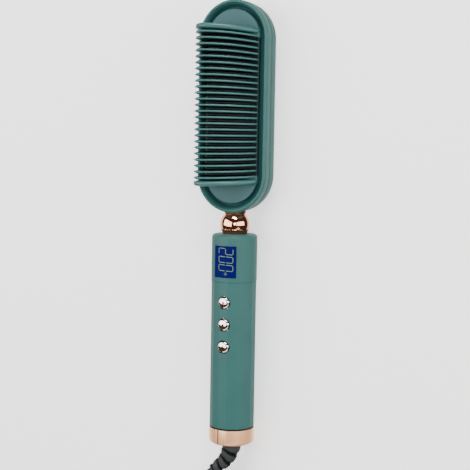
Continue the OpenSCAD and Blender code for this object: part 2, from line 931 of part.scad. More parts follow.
// The plug's two round pins, with thinner shanks in the body.
module plug_pins() {
    pin_r = pin_diameter / 2;
    color("silver")
        for (side = [-1, 1])
            translate([
                plug_rear[0] + side * pin_spacing / 2,
                plug_rear[1] - plug_body_length - plug_pin_length,
                plug_rear[2]
            ])
                rotate([-90, 0, 0])
                    rotate_extrude()
                        polygon([
                            [0, 0], [pin_r - 0.8, 0], [pin_r, 1], [pin_r, plug_pin_length - pin_step],
                            [pin_shank_r, plug_pin_length - pin_step],
                            [pin_shank_r, plug_pin_length + pin_shank], [0, plug_pin_length + pin_shank]
                        ]);
}

head_front_shell();
head_back_shell();
comb_guard();
heater_comb();
ptc_heaters();
heater_clamp();
thermal_fuse();
head_screws();
neck_collar();
neck_ball();
neck_flare();
neck_tube();
heater_leads();
handle_collar();
handle_sleeve();
display_lens();
display_module();
inner_tray();
control_board();
tact_switches();
power_button();
plus_button();
minus_button();
end_ring();
end_bushing();
swivel_hub();
slip_rings();
contact_springs();
strain_relief();
cord();
cord_hank();
cord_tail();
cord_tie();
plug_body();
plug_pins();
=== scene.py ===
"""Looks for the heated straightener brush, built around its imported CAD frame.

Sizes are in mm, apart from the floor's, the wall's and the lights', which are in m.
"""
import math

import bmesh
import bpy
from mathutils import Matrix, Vector


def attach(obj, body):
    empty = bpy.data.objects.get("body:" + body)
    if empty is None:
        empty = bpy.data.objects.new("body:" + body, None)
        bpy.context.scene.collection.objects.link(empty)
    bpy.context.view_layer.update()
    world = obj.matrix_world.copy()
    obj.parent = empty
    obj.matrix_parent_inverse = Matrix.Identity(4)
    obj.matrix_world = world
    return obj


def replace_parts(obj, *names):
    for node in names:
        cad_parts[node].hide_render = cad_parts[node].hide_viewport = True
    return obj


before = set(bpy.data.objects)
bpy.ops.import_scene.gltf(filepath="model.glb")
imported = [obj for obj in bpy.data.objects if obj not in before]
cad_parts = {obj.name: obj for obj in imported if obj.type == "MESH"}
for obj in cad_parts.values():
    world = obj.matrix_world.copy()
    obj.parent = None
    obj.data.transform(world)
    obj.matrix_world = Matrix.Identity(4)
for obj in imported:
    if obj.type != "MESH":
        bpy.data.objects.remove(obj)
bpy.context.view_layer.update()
MM = 0.001

# ---- Driving sizes, as the part's source has them ----
AXIS_Z = 15.3
HANDLE_R = 15.3
HEAD_LENGTH, HEAD_WIDTH = 140, 50.4
NECK_GAP = 14.25
HANDLE_LENGTH, COLLAR_LENGTH, RING_HEIGHT = 142.2, 31.5, 11.4
WINDOW_DROP, WINDOW_LENGTH = 7.35, 21.2
BUTTON_DROP, BUTTON_PITCH = 16.55, 14.87
BALL_RISE, BALL_R = 6.3, 9.75
CORD_D = 5
HEAD_R = HEAD_WIDTH / 2
HEAD_TOP = (HEAD_LENGTH + HANDLE_LENGTH + NECK_GAP) / 2
HEAD_CENTRE = HEAD_TOP - HEAD_LENGTH / 2
HEAD_LOW = HEAD_TOP - HEAD_LENGTH
STRAIGHT = HEAD_LENGTH - HEAD_WIDTH
HANDLE_TOP = HEAD_LOW - NECK_GAP
HANDLE_END = HANDLE_TOP - HANDLE_LENGTH
COLLAR_END = HANDLE_TOP - COLLAR_LENGTH
RING_TOP = HANDLE_END + RING_HEIGHT
WINDOW_TOP = HANDLE_TOP - WINDOW_DROP
WINDOW_END = WINDOW_TOP - WINDOW_LENGTH
BUTTON_Y = [WINDOW_END - BUTTON_DROP - i * BUTTON_PITCH for i in range(3)]
BALL_Y = HANDLE_TOP + BALL_RISE

# ---- Helpers ----
WELD_M, SLIVER_M = 0.000002, 0.000001


def link(name, verts, faces, material, body="housing", smooth=35):
    """A mesh piece in mm that rides on a body, shaded smooth below an angle."""
    mesh = bpy.data.meshes.new(name)
    mesh.from_pydata([Vector(v) * MM for v in verts], [], faces)
    bm = bmesh.new()
    bm.from_mesh(mesh)
    bmesh.ops.remove_doubles(bm, verts=bm.verts, dist=WELD_M)
    bmesh.ops.dissolve_degenerate(bm, edges=bm.edges, dist=SLIVER_M)
    bmesh.ops.recalc_face_normals(bm, faces=bm.faces)
    bm.to_mesh(mesh)
    bm.free()
    piece = bpy.data.objects.new(name, mesh)
    bpy.context.scene.collection.objects.link(piece)
    mesh.materials.append(material)
    mesh.shade_smooth()
    mesh.set_sharp_from_angle(angle=math.radians(smooth))
    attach(piece, body)
    return piece


def lofted(rings, closed_ends=True):
    """Vertices and faces through equal rings of points."""
    n = len(rings[0])
    verts = [p for ring in rings for p in ring]
    faces = []
    for i in range(len(rings) - 1):
        for k in range(n):
            a, b = i * n + k, i * n + (k + 1) % n
            faces.append((a, b, b + n, a + n))
    if closed_ends:
        faces.append(tuple(range(n))[::-1])
        faces.append(tuple(range((len(rings) - 1) * n, len(rings) * n)))
    return verts, faces


def on_axis(r, angle, y):
    """A point at radius r round the handle's axis; angle 0 is the front, positive to the right."""
    return (r * math.sin(angle), y, AXIS_Z + r * math.cos(angle))


def revolved(name, profile, material, steps=128):
    """A closed profile of (radius, y) points, turned round the handle's axis."""
    rings = [
        [on_axis(r, 2 * math.pi * k / steps, y) for r, y in profile]
        for k in range(steps)
    ]
    n = len(profile)
    verts = [p for ring in rings for p in ring]
    faces = [
        (k * n + i, k * n + (i + 1) % n, (k + 1) % steps * n + (i + 1) % n,
         (k + 1) % steps * n + i)
        for k in range(steps)
        for i in range(n)
    ]
    return link(name, verts, faces, material)


def arc(cx, cy, r, a0, a1, n=10):
    """Points of an arc, angles in degrees."""
    return [
        (
            cx + r * math.cos(math.radians(a0 + (a1 - a0) * i / n)),
            cy + r * math.sin(math.radians(a0 + (a1 - a0) * i / n)),
        )
        for i in range(n + 1)
    ]


def oval_ring(w, z, steps=48):
    """The head's outline at half width w and height z."""
    ring = []
    for end in (1, -1):
        for k in range(steps + 1):
            a = math.pi * k / steps
            x, y = w * math.cos(a), w * math.sin(a)
            ring.append((end * x, HEAD_CENTRE + end * (STRAIGHT / 2 + y), z))
    return ring


def oval_sweep(name, section, material):
    """Sweeps a closed section of (half width, z) round the head's oval."""
    rings = [oval_ring(w, z) for w, z in section]
    verts, faces = lofted(rings + [rings[0]], closed_ends=False)
    return link(name, verts, faces, material)


def tube(name, path, radius, material, body, sides):
    """A round tube through points in mm."""
    pts = [Vector(p) for p in path]
    rings = []
    for i, p in enumerate(pts):
        t = (pts[min(i + 1, len(pts) - 1)] - pts[max(i - 1, 0)]).normalized()
        n = t.cross(Vector((0, 0, 1))).normalized()
        b = n.cross(t)
        rings.append([
            p + radius * (math.cos(a) * n + math.sin(a) * b)
            for a in (2 * math.pi * k / sides for k in range(sides))
        ])
    verts, faces = lofted(rings)
    return link(name, verts, faces, material, body, smooth=50)


# ---- Materials ----
# Noise scales are per metre of object space, and the spreads are shares of a colour or roughness.
PLASTIC_NOISE, PLASTIC_ROUGH_SPREAD, SHELL_ROUGH = 60, 0.04, 0.5
METAL_NOISE, METAL_SPREAD, METAL_ROUGH_SHARE, METAL_FINE_NOISE = 90, 0.03, 0.35, 5000
BUMP_DEPTH_M = 0.00006


def new_material(name, colour, roughness, metallic=0.0):
    """A principled material with its plain values set; returns it with its shader and node tree."""
    m = bpy.data.materials.new(name)
    m.use_nodes = True
    shader = m.node_tree.nodes["Principled BSDF"]
    shader.inputs["Base Color"].default_value = (*colour, 1)
    shader.inputs["Roughness"].default_value = roughness
    shader.inputs["Metallic"].default_value = metallic
    shader.inputs["IOR"].default_value = 1.5
    return m, shader, m.node_tree


def grain(
    tree, shader, colour, scale, spread, rough, rough_spread, bump, bump_scale, stretch=(1, 1, 1)
):
    """Adds slow colour change, roughness change and a fine bump, all from object-space noise."""
    nodes, wires = tree.nodes, tree.links
    coords = nodes.new("ShaderNodeTexCoord")
    mapping = nodes.new("ShaderNodeMapping")
    mapping.inputs["Scale"].default_value = stretch
    wires.new(coords.outputs["Object"], mapping.inputs["Vector"])
    slow = nodes.new("ShaderNodeTexNoise")
    slow.inputs["Scale"].default_value = scale
    slow.inputs["Detail"].default_value = 4
    wires.new(mapping.outputs["Vector"], slow.inputs["Vector"])
    ramp = nodes.new("ShaderNodeValToRGB")
    ramp.color_ramp.elements[0].position = 0.3
    ramp.color_ramp.elements[1].position = 0.7
    ramp.color_ramp.elements[0].color = (*[c * (1 - spread) for c in colour], 1)
    ramp.color_ramp.elements[1].color = (*[min(1, c * (1 + spread)) for c in colour], 1)
    wires.new(slow.outputs["Fac"], ramp.inputs["Fac"])
    wires.new(ramp.outputs["Color"], shader.inputs["Base Color"])
    ranged = nodes.new("ShaderNodeMapRange")
    ranged.inputs["To Min"].default_value = rough - rough_spread
    ranged.inputs["To Max"].default_value = rough + rough_spread
    wires.new(slow.outputs["Fac"], ranged.inputs["Value"])
    wires.new(ranged.outputs["Result"], shader.inputs["Roughness"])
    fine = nodes.new("ShaderNodeTexNoise")
    fine.inputs["Scale"].default_value = bump_scale
    fine.inputs["Detail"].default_value = 3
    wires.new(mapping.outputs["Vector"], fine.inputs["Vector"])
    bumped = nodes.new("ShaderNodeBump")
    bumped.inputs["Strength"].default_value = bump
    bumped.inputs["Distance"].default_value = BUMP_DEPTH_M
    wires.new(fine.outputs["Fac"], bumped.inputs["Height"])
    wires.new(bumped.outputs["Normal"], shader.inputs["Normal"])


def plastic(name, colour, rough=SHELL_ROUGH, bump=0.12, bump_scale=9000, spread=0.05, shine=0.25):
    """A plastic, rubber or ceramic; shine is its specular level."""
    m, shader, tree = new_material(name, colour, rough)
    shader.inputs["Specular IOR Level"].default_value = shine
    grain(
        tree, shader, colour, PLASTIC_NOISE, spread, rough, PLASTIC_ROUGH_SPREAD, bump, bump_scale
    )
    return m


def metal(name, colour, rough, bump=0.03, stretch=(1, 1, 1), metallic=1.0):
    """A metal or plating; stretch draws its grain out along an axis."""
    m, shader, tree = new_material(name, colour, rough, metallic)
    grain(
        tree, shader, colour, METAL_NOISE, METAL_SPREAD, rough, rough * METAL_ROUGH_SHARE,
        bump, METAL_FINE_NOISE, stretch,
    )
    return m


green = plastic("green_plastic", (0.025, 0.094, 0.087))
comb_green = plastic("comb_plastic", (0.025, 0.1, 0.096), rough=0.34, shine=0.5)
plate_green = plastic("plate_plastic", (0.029, 0.087, 0.091))
# The channel's liner is painted shade: a darker copy of the green, laid where the channel lies in
# shadow.
channel_shade_green = plastic("channel_painted_shade", (0.016, 0.06, 0.062), rough=0.7, shine=0.1)
# comb_shade and shade_gold stand in for shadows that are deeper in the photograph.
shade_green = plastic("comb_shade", (0.004, 0.016, 0.017), rough=0.6, shine=0.15)
# Black aluminium of the heater comb, also put in the boot's grooves as painted shade.
black_plate_and_groove_shade = plastic(
    "black_aluminium", (0.002, 0.006, 0.0064), rough=0.42, bump=0.3, bump_scale=6000, shine=0.1
)
# Black plastic of the inner parts, also put on the end ring's joint and chamfer as painted shade.
black_plastic = plastic("black_plastic", (0.018, 0.018, 0.02))
rose_gold = metal("rose_gold", (0.95, 0.47, 0.3), 0.05)
# A darker, rougher copy of the gold, as painted shade on the flare's cone.
flare_shade_gold = metal("flare_shade_gold", (0.55, 0.24, 0.16), 0.24)
shade_gold = metal("shade_gold", (0.14, 0.07, 0.05), 0.35)
ring_gold = metal(
    "ring_gold", (1.0, 0.52, 0.27), 0.3, bump=0.08, stretch=(1, 0.05, 1), metallic=0.5
)
chrome = metal("silver_chrome", (0.9, 0.78, 0.72), 0.07)
steel = metal("steel", (0.62, 0.62, 0.63), 0.22, bump=0.1)
brass = metal("brass_contact", (0.72, 0.5, 0.2), 0.3, bump=0.1)
ceramic = plastic("ceramic", (0.62, 0.56, 0.46), rough=0.7, bump=0.3)
board = plastic("circuit_board", (0.02, 0.14, 0.06), rough=0.45)
insulation = plastic("wire_insulation", (0.42, 0.05, 0.03))
boot_rubber = plastic("grey_rubber", (0.036, 0.036, 0.038), rough=0.6, bump=0.35, bump_scale=5000)
cord_rubber = plastic("black_rubber", (0.012, 0.012, 0.013), bump=0.25, bump_scale=5000)
lens_blue = plastic(
    "display_glass", (0.002, 0.003, 0.075), rough=0.4, bump=0.02, spread=0.12, shine=0.03
)
digit_light = plastic("display_digits", (0.13, 0.19, 0.1), shine=0.1)

# The CAD solids that show as they are.
MATERIAL_OF = {
    "heater_comb": black_plate_and_groove_shade, "ptc_heaters": ceramic, "heater_clamp": steel,
    "thermal_fuse": ceramic, "head_screws": steel, "neck_tube": steel,
    "heater_leads": insulation, "display_module": black_plastic, "inner_tray": black_plastic,
    "control_board": board, "tact_switches": black_plastic, "end_bushing": black_plastic,
    "swivel_hub": black_plastic, "slip_rings": brass, "contact_springs": brass,
    "plug_pins": steel,
}
for node, material in MATERIAL_OF.items():
    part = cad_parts[node]
    part.data.materials.clear()
    part.data.materials.append(material)
    part.data.shade_smooth()
    part.data.set_sharp_from_angle(angle=math.radians(30))

# ---- Camera ----
CAMERA_TURN, CAMERA_TILT, CAMERA_ROLL = 26.16, 4.87, 0.94
CAMERA_DISTANCE, CAMERA_SIDE, CAMERA_AIM_Y = 747.7, 0.15, -7.05
FOCAL_PIXELS, IMAGE_PIXELS, SENSOR = 1114, 470, 36
turn, tilt, roll = (math.radians(a) for a in (CAMERA_TURN, CAMERA_TILT, CAMERA_ROLL))
toward = Vector((
    math.sin(turn) * math.cos(tilt), math.sin(tilt), math.cos(turn) * math.cos(tilt)
))
flat_right = Vector((math.cos(turn), 0, -math.sin(turn)))
flat_up = toward.cross(flat_right)
right = flat_right * math.cos(roll) + flat_up * math.sin(roll)
up = flat_up * math.cos(roll) - flat_right * math.sin(roll)
AIM = Vector((0, CAMERA_AIM_Y, AXIS_Z))
camera = bpy.data.objects.new("camera", bpy.data.cameras.new("camera"))
camera.data.sensor_width = SENSOR
camera.data.lens = SENSOR * FOCAL_PIXELS / IMAGE_PIXELS
camera.data.clip_start, camera.data.clip_end = 0.05, 20
place = (AIM + toward * CAMERA_DISTANCE + right * CAMERA_SIDE) * MM
facing_camera = Matrix((right, up, toward)).transposed().to_4x4()
camera.matrix_world = Matrix.Translation(place) @ facing_camera
bpy.context.scene.collection.objects.link(camera)
bpy.context.scene.camera = camera

# ---- Head ----
SEAM, RIM_TOP, CHANNEL = 16.3, 23.6, 18.6
PLATE_R, PLATE_TOP, PLATE_LOW, PLATE_LEDGE = 19.0, 22.2, 20.2, 0.8
RIM_ROUND, RIM_EDGE, SLOPE_R, SLOPE_FOOT = 1.5, 0.4, 23.5, 20.6
BACK_FLAT, BACK_R, LIP = 13.5, 11.3, 1.2
SHELL_WALL, FLOOR_WALL, LINER = 2, 1.4, 0.2
# The groove over the seam, as (inward, upward) from the seam's outer edge.
SEAM_GROOVE = [(SHELL_WALL, 0.05), (1.3, 0.1), (0.15, 0.9), (0, 1.2)]

oval_sweep(
    "front_shell",
    [(HEAD_R - inward, SEAM + upward) for inward, upward in SEAM_GROOVE]
    + [(HEAD_R, RIM_TOP - RIM_ROUND - 0.2)]
    + arc(HEAD_R - RIM_ROUND, RIM_TOP - RIM_ROUND, RIM_ROUND, 6, 84, 14)
    + arc(SLOPE_R, RIM_TOP - RIM_EDGE, RIM_EDGE, 90, 150, 4)
    + [(SLOPE_FOOT, CHANNEL), (PLATE_R, CHANNEL)]
    + [(PLATE_R - 0.1, PLATE_LOW - 0.05), (PLATE_R - PLATE_LEDGE, PLATE_LOW - 0.05)]
    + [(PLATE_R - PLATE_LEDGE, CHANNEL - FLOOR_WALL), (HEAD_R - SHELL_WALL, CHANNEL - FLOOR_WALL)],
    green,
)
oval_sweep(
    "back_shell",
    [(0.02, 0)]
    + arc(BACK_FLAT, BACK_R, BACK_R, -90, 0, 20)
    + arc(HEAD_R - 0.1 - LIP, SEAM - LIP, LIP, 0, 88, 8)
    + [(HEAD_R - SHELL_WALL, SEAM), (HEAD_R - SHELL_WALL - 0.2, 10), (0.02, 8)],
    green,
)
# A thin dark sheet laid over the channel, as painted shade.
oval_sweep(
    "channel_liner",
    [
        (SLOPE_R - 0.45, RIM_TOP - 0.45), (SLOPE_FOOT - 0.03, CHANNEL + 0.04),
        (PLATE_R + 0.02, CHANNEL + 0.04), (PLATE_R + 0.02, CHANNEL - LINER),
        (SLOPE_FOOT + 0.1, CHANNEL - LINER), (SLOPE_R - 0.2, RIM_TOP - 0.7),
    ],
    channel_shade_green,
)

# ---- Comb ----
BLADES, PITCH, THIN, THICK = 25, 3.77, 1.3, 3.4
FAN, LEAN = 6.7, 2.0
BLADE_RISE, COMB_SPARE, END_INSET = 19, 1.14, 1.5
CREST = BLADE_RISE + PLATE_TOP - PLATE_LOW
COMB_LENGTH = (BLADES + 1) * PITCH + COMB_SPARE
COMB_FIRST = HEAD_CENTRE - (BLADES - 1) / 2 * PITCH
WINDOW_HALF, ROOT_X = 17.8, 18.9
NOSE_R, ARCH_R, ARCH_X = 7.3, 50, -21.2
ARCH_END = math.radians(80)
ARCH_Z = CREST - NOSE_R - (ARCH_R - NOSE_R) * math.sin(ARCH_END)
NOSE_X = ARCH_X + (ARCH_R - NOSE_R) * math.cos(ARCH_END)
NOSE_Z = CREST - NOSE_R
# The blades' lower left edge, as (distance to the left, height) from the foot to the nose.
UNDER = [
    (18.2, -0.1), (18.7, CREST - 16), (19.4, CREST - 12), (20.4, CREST - 10.4),
    (21.08, NOSE_Z - 0.3),
]
# The nose's leaf, by its share of the way to the tip: extra thickness, where it ends,
# where the tip starts to narrow, how fast, and the least thickness.
LEAF_SWELL, LEAF_END, TIP_START, TIP_RATE, TIP_LEAST = 1.0, 0.8, 0.45, 1.25, 0.14
# The end blades' noses: the x where they start to thin, the way, the amount, the least share.
END_THIN_X, END_THIN_WAY, END_THIN, END_THIN_LEAST = -17, 4.4, 0.5, 0.45
# How far below the crest a flank is lit: at the root, and how it grows past a place near the nose.
LIT_ROOT, LIT_GROWTH, LIT_FROM = 1.3, 0.75, NOSE_X + 1.5
BLADE_LEAST, SHADE_GAP = 0.25, 0.05
ROOT_STEPS, NOSE_STEPS, EDGE_STEPS = 24, 14, 6


def lean_at(y):
    """Lean of a blade that stands at y, in degrees."""
    return LEAN + FAN * (y - HEAD_CENTRE) / ((BLADES - 1) / 2 * PITCH)


def crest_at(x):
    """Height of a blade's upper edge over its foot at x."""
    if x < ARCH_X + ARCH_R * math.cos(ARCH_END):
        return NOSE_Z + math.sqrt(max(NOSE_R ** 2 - (x - NOSE_X) ** 2, 0))
    return ARCH_Z + math.sqrt(ARCH_R ** 2 - (x - ARCH_X) ** 2)


def under_at(x):
    """Height of a blade's lower edge: its foot, then the underside of the nose."""
    if -x <= UNDER[0][0]:
        return UNDER[0][1]
    for (x0, z0), (x1, z1) in zip(UNDER, UNDER[1:]):
        if -x <= x1:
            return z0 + (z1 - z0) * (-x - x0) / (x1 - x0)
    return UNDER[-1][1]


def swell(x, base):
    """Thickness of a thin blade at x: pointed at the nose, widest behind it."""
    if x > NOSE_X:
        return base
    t = (NOSE_X - x) / NOSE_R
    leaf = base
    if t < LEAF_END:
        leaf += LEAF_SWELL * math.sin(min(1, t / LEAF_END) * math.pi) ** 2
    if t > TIP_START:
        leaf *= min(1, TIP_RATE * math.sqrt(max(1 - t, 0)))
    return max(leaf, TIP_LEAST)


def end_swell(x, base):
    """Thickness of an end blade at x: even, then thinner towards the nose."""
    if x > END_THIN_X:
        return base
    return base * max(END_THIN_LEAST, 1 - ((END_THIN_X - x) / END_THIN_WAY) ** 2 * END_THIN)


def lit_depth(x):
    """How far below the crest a blade's flank stays in its own colour at x."""
    return LIT_ROOT + LIT_GROWTH * max(0, LIT_FROM - x)


def blade_verts(y, lean, thickness, leaf):
    """Rings of a blade from its right root to its nose, already standing at y."""
    stations = [ROOT_X - (ROOT_X - NOSE_X) * k / ROOT_STEPS for k in range(ROOT_STEPS + 1)]
    stations += [
        NOSE_X - (NOSE_R - 0.02) * math.sin(math.pi / 2 * k / NOSE_STEPS)
        for k in range(1, NOSE_STEPS + 1)
    ]
    rings = []
    a = math.radians(-lean)
    for x in stations:
        top, low = crest_at(x), min(under_at(x), crest_at(x) - BLADE_LEAST)
        h = (swell(x, thickness) if leaf else end_swell(x, thickness)) / 2
        round_h = min(h, (top - low) / 2)
        ring = []
        for k in range(EDGE_STEPS + 1):
            b = math.pi * k / EDGE_STEPS
            ring.append((h * math.cos(b), top - round_h + round_h * math.sin(b)))
        shade = max(top - lit_depth(x), low + round_h + SHADE_GAP)
        shade = min(shade, top - round_h - SHADE_GAP)
        ring.append((-h, shade))
        for k in range(EDGE_STEPS + 1):
            b = math.pi * (1 + k / EDGE_STEPS)
            ring.append((h * math.cos(b), low + round_h + round_h * math.sin(b)))
        ring.append((h, shade))
        rings.append([
            (x, y + v * math.cos(a) - z * math.sin(a),
             PLATE_LOW + v * math.sin(a) + z * math.cos(a))
            for v, z in ring
        ])
    return rings


def merged(name, parts, material, shade=None):
    """One piece from several lofts; shade is the material of the flanks below their lit rims."""
    verts, faces = [], []
    for rings in parts:
        v, f = lofted(rings)
        faces += [tuple(i + len(verts) for i in face) for face in f]
        verts += v
    piece = link(name, verts, faces, material, smooth=40)
    if shade:
        piece.data.materials.append(shade)
        for face in piece.data.polygons:
            x, z = face.center.x / MM, face.center.z / MM
            if crest_at(x) - (z - PLATE_LOW) > lit_depth(x):
                face.material_index = 1
    return piece


blades = []
for i in range(BLADES):
    y = COMB_FIRST + i * PITCH
    blades.append(blade_verts(y, lean_at(y), THIN, True))
merged("comb_blades", blades, comb_green, shade=shade_green)
ends = []
for end in (-1, 1):
    y = HEAD_CENTRE + end * (COMB_LENGTH - END_INSET) / 2
    ends.append(blade_verts(y, lean_at(HEAD_CENTRE + end * COMB_LENGTH / 2), THICK, False))
merged("comb_end_blades", ends, comb_green)
PLATE_ROUND, PLATE_BORDER, MOON_STEPS, MOON_REACH = 0.5, 0.5, 48, 1.6


def plate_mesh():
    """The oval front plate with its rounded edge, open where the blades span it."""
    border = WINDOW_HALF + PLATE_BORDER
    edge = [
        (PLATE_R - PLATE_ROUND, PLATE_TOP - 2), (PLATE_R, PLATE_TOP - 1.9),
        (PLATE_R, PLATE_TOP - PLATE_ROUND),
    ]
    edge += arc(PLATE_R - PLATE_ROUND, PLATE_TOP - PLATE_ROUND, PLATE_ROUND, 20, 90, 5)
    edge += [(border, PLATE_TOP)]
    verts, faces = lofted([oval_ring(w, z) for w, z in edge], closed_ends=False)
    base = len(verts)
    half = COMB_LENGTH / 2
    for end in (1, -1):
        outer = [
            (end * border * math.cos(math.pi * k / MOON_STEPS),
             HEAD_CENTRE + end * (STRAIGHT / 2 + border * math.sin(math.pi * k / MOON_STEPS)))
            for k in range(MOON_STEPS + 1)
        ]
        inner = [(x, HEAD_CENTRE + end * min(half - MOON_REACH, STRAIGHT / 2)) for x, _ in outer]
        for (xo, yo), (xi, yi) in zip(outer, inner):
            verts.append((xo, yo, PLATE_TOP))
            verts.append((xi, yi, PLATE_TOP))
        for k in range(MOON_STEPS):
            a = base + 2 * k
            faces.append((a, a + 1, a + 3, a + 2))
        base = len(verts)
    for side in (-1, 1):
        verts += [
            (side * WINDOW_HALF, HEAD_CENTRE - STRAIGHT / 2, PLATE_TOP),
            (side * border, HEAD_CENTRE - STRAIGHT / 2, PLATE_TOP),
            (side * border, HEAD_CENTRE + STRAIGHT / 2, PLATE_TOP),
            (side * WINDOW_HALF, HEAD_CENTRE + STRAIGHT / 2, PLATE_TOP),
        ]
        faces.append((base, base + 1, base + 2, base + 3))
        base = len(verts)
    piece = link("front_plate", verts, faces, plate_green)
    # The strips beside the blades take the shade material, as painted shade.
    piece.data.materials.append(shade_green)
    for face in piece.data.polygons:
        if abs(face.center.y - HEAD_CENTRE * MM) < (STRAIGHT / 2 - 0.1) * MM:
            face.material_index = 1


plate_mesh()

# ---- Neck ----
SEAT_R, TUBE_R = BALL_R + 0.05, 4.55
COLLAR_SEAT_R, COLLAR_R, COLLAR_SLEEVE = 6.6, 7.3, 1.3
FLARE, FLARE_FOOT_R, FLARE_R, FLARE_LIP, LIP_ANGLE = HANDLE_TOP - 3, 9.3, 8.1, 5.7, 19.4


def about_ball(r, a0, a1, steps):
    """An arc round the ball's centre, as (radius, y) from the axis."""
    return [(q, BALL_Y + y) for q, y in arc(0, 0, r, a0, a1, steps)]


ball_angle = math.degrees(math.acos(TUBE_R / BALL_R))
revolved("neck_mirror_ball", about_ball(BALL_R, -ball_angle, ball_angle, 48), rose_gold)
seat_angle = math.degrees(math.acos(TUBE_R / SEAT_R))
revolved(
    "neck_top_collar",
    about_ball(SEAT_R, seat_angle, math.degrees(math.acos(COLLAR_SEAT_R / SEAT_R)), 8)
    + [(COLLAR_R - 0.6, HEAD_LOW - 0.9), (COLLAR_R - 0.08, HEAD_LOW - 0.25), (COLLAR_R, HEAD_LOW)]
    + [(COLLAR_R, HEAD_LOW + COLLAR_SLEEVE), (TUBE_R, HEAD_LOW + COLLAR_SLEEVE)],
    shade_gold,
)
flare = revolved(
    "neck_flare_collar",
    [(TUBE_R, FLARE), (FLARE_FOOT_R, FLARE), (FLARE_FOOT_R, FLARE + 0.45)]
    + [(FLARE_R, FLARE + 0.5), (FLARE_R, FLARE + 3.05)]
    + arc(12.2, FLARE + 2.6, 4.0, 168, 124, 8)
    + arc(9.42, FLARE + 5.93, 0.13, 0, 90, 4)
    + about_ball(SEAT_R, -LIP_ANGLE, -seat_angle, 10),
    flare_shade_gold,
).data
# The cone takes a darker copy of the gold as painted shade; the lip under the ball is the bright
# gold.
flare.materials.append(rose_gold)
for face in flare.polygons:
    if face.center.y > (FLARE + FLARE_LIP) * MM:
        face.material_index = 1

# ---- Handle ----
BORE_R = HANDLE_R - 2.2
WINDOW_HALF_ANGLE = math.radians(62.7 / 2)
COLLAR_ROUND, MOUTH_R, MOUTH_DEPTH = 2.5, 8.15, 2.4
WINDOW_STEPS, ROUND_STEPS = 24, 72


def collar_shell():
    """The collar's wall with its rounded top, open where the window is."""
    profile = [(HANDLE_R, COLLAR_END), (HANDLE_R, WINDOW_END), (HANDLE_R, WINDOW_TOP)]
    profile += arc(HANDLE_R - COLLAR_ROUND, HANDLE_TOP - COLLAR_ROUND, COLLAR_ROUND, 0, 90, 12)
    profile += [(MOUTH_R, HANDLE_TOP), (MOUTH_R, HANDLE_TOP - MOUTH_DEPTH)]
    angles = [
        -WINDOW_HALF_ANGLE + 2 * WINDOW_HALF_ANGLE * k / WINDOW_STEPS
        for k in range(WINDOW_STEPS + 1)
    ]
    angles += [
        WINDOW_HALF_ANGLE + (2 * math.pi - 2 * WINDOW_HALF_ANGLE) * k / ROUND_STEPS
        for k in range(1, ROUND_STEPS)
    ]
    n = len(profile)
    verts = [on_axis(r, a, y) for a in angles for r, y in profile]
    faces = []
    for k in range(len(angles)):
        for i in range(n - 1):
            if k < WINDOW_STEPS and i == 1:
                continue
            a, b = k * n + i, (k + 1) % len(angles) * n + i
            faces.append((a, a + 1, b + 1, b))
    base = len(verts)
    verts += [
        on_axis(BORE_R, a, y)
        for a in angles[: WINDOW_STEPS + 1] for y in (WINDOW_END, WINDOW_TOP)
    ]
    for k in range(WINDOW_STEPS):
        for j, i in ((0, 1), (1, 2)):
            a, b = base + 2 * k + j, base + 2 * (k + 1) + j
            faces.append((k * n + i, (k + 1) * n + i, b, a))
    for k in (0, WINDOW_STEPS):
        faces.append((k * n + 1, k * n + 2, base + 2 * k + 1, base + 2 * k))
    lower = len(verts)
    verts += [on_axis(BORE_R, a, COLLAR_END) for a in angles]
    for k in range(len(angles)):
        j = (k + 1) % len(angles)
        faces.append((k * n, j * n, lower + j, lower + k))
    link("collar", verts, faces, green, smooth=30)


collar_shell()


LENS_R, LENS_IN_R, LENS_GAP, LENS_GAP_ANGLE = HANDLE_R - 0.1, BORE_R + 0.4, 0.05, 0.2


def lens_mesh():
    """The display's window: a closed curved slab centred on the front."""
    y0, y1 = WINDOW_END + LENS_GAP, WINDOW_TOP - LENS_GAP
    half = WINDOW_HALF_ANGLE - math.radians(LENS_GAP_ANGLE)
    rings = []
    for k in range(WINDOW_STEPS + 1):
        a = -half + 2 * half * k / WINDOW_STEPS
        corners = ((LENS_R, y0), (LENS_R, y1), (LENS_IN_R, y1), (LENS_IN_R, y0))
        rings.append([on_axis(r, a, y) for r, y in corners])
    verts, faces = lofted(rings)
    link("lens", verts, faces, lens_blue)


lens_mesh()

# The reading lies along the handle, with the tops of its figures to the right.
FIGURE_TALL, FIGURE_WIDE, FIGURE_PITCH, STROKE, SHIFT = 10.2, 3.9, 5.5, 0.5, 0.9
FIGURE_START, SLANT, BAR_GAP, BAR_STEPS = WINDOW_TOP - 1.3, 0.5, 0.32, 6
BAR_TOP, BAR_FOOT = 0.03, -0.1
MARK_TALL, MARK_WIDE, MARK_LOW = 1.7, 1.3, 0.2
SEGMENTS = {
    "top": ((0, 1), (1, 1)), "middle": ((0, 0.5), (1, 0.5)), "bottom": ((0, 0), (1, 0)),
    "upper_left": ((0, 0.5), (0, 1)), "upper_right": ((1, 0.5), (1, 1)),
    "lower_left": ((0, 0), (0, 0.5)), "lower_right": ((1, 0), (1, 0.5)),
}
TWO = ("top", "upper_right", "middle", "lower_left", "bottom")
ZERO = ("top", "upper_left", "upper_right", "lower_left", "lower_right", "bottom")


